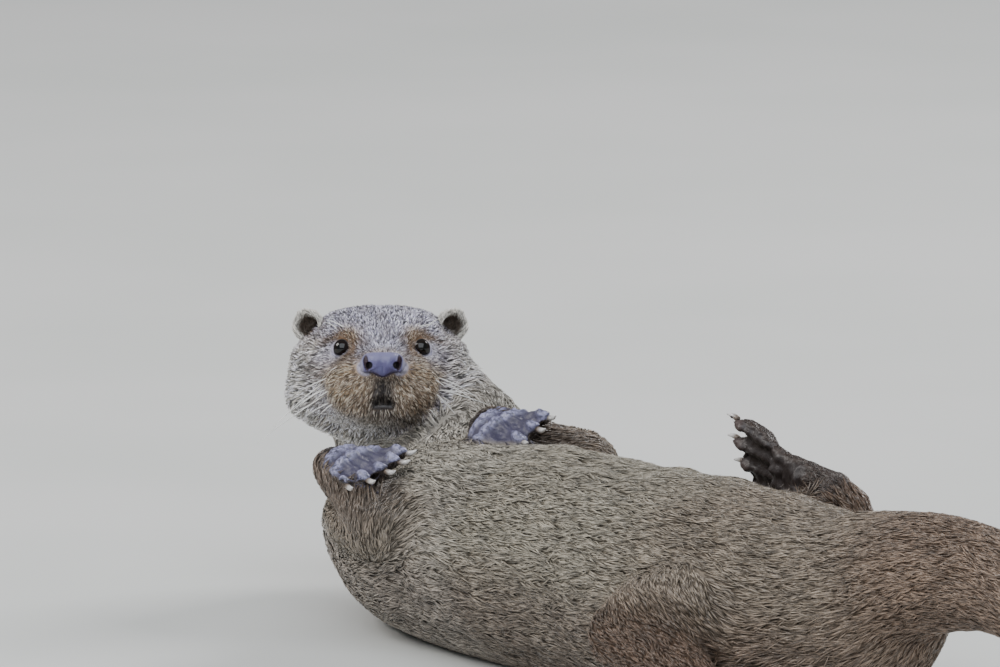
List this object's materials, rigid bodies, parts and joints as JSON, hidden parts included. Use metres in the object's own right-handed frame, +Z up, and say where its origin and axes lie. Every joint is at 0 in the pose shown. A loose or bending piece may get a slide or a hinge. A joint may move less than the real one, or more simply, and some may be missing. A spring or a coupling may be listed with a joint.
{
  "type": "eurasian otter",
  "caption": "Life-size still otter lying on its back on a flat surface, head raised to look ahead, both forepaws on its chest, one hind foot lifted, the other leg and the tail laid back.",
  "frame": {"origin": "on the floor, under the middle of the animal's bounding box", "axes": "+X along the back from the head towards the tail's tip, +Y to the side that the raised head leans to and looks away from, +Z up, out of the belly"},
  "size_m": [1.004, 0.2688, 0.1727],
  "materials": {
    "coat_crown": "satin",
    "coat_belly": "satin",
    "coat_limb": "satin",
    "coat_tail": "satin",
    "naked_skin": "satin",
    "eye": "gloss"
  },
  "bodies": {
    "root": {"head": "coat_crown", "lower_jaw": "coat_belly", "nose": "naked_skin", "eye_left": "eye", "eye_right": "eye", "ear_left": "coat_crown", "ear_right": "coat_crown", "neck": "coat_crown", "chest": "coat_belly", "belly": "coat_belly", "rump": "coat_belly", "tail_root": "coat_tail", "tail_middle": "coat_tail", "tail_tip": "coat_tail", "upper_arm_left": "coat_limb", "forearm_left": "coat_limb", "paw_left": "coat_limb", "thigh_left": "coat_limb", "shank_left": "coat_limb", "foot_left": "coat_limb", "upper_arm_right": "coat_limb", "forearm_right": "coat_limb", "paw_right": "coat_limb", "thigh_right": "coat_limb", "shank_right": "coat_limb", "foot_right": "coat_limb"}
  },
  "joints": []
}
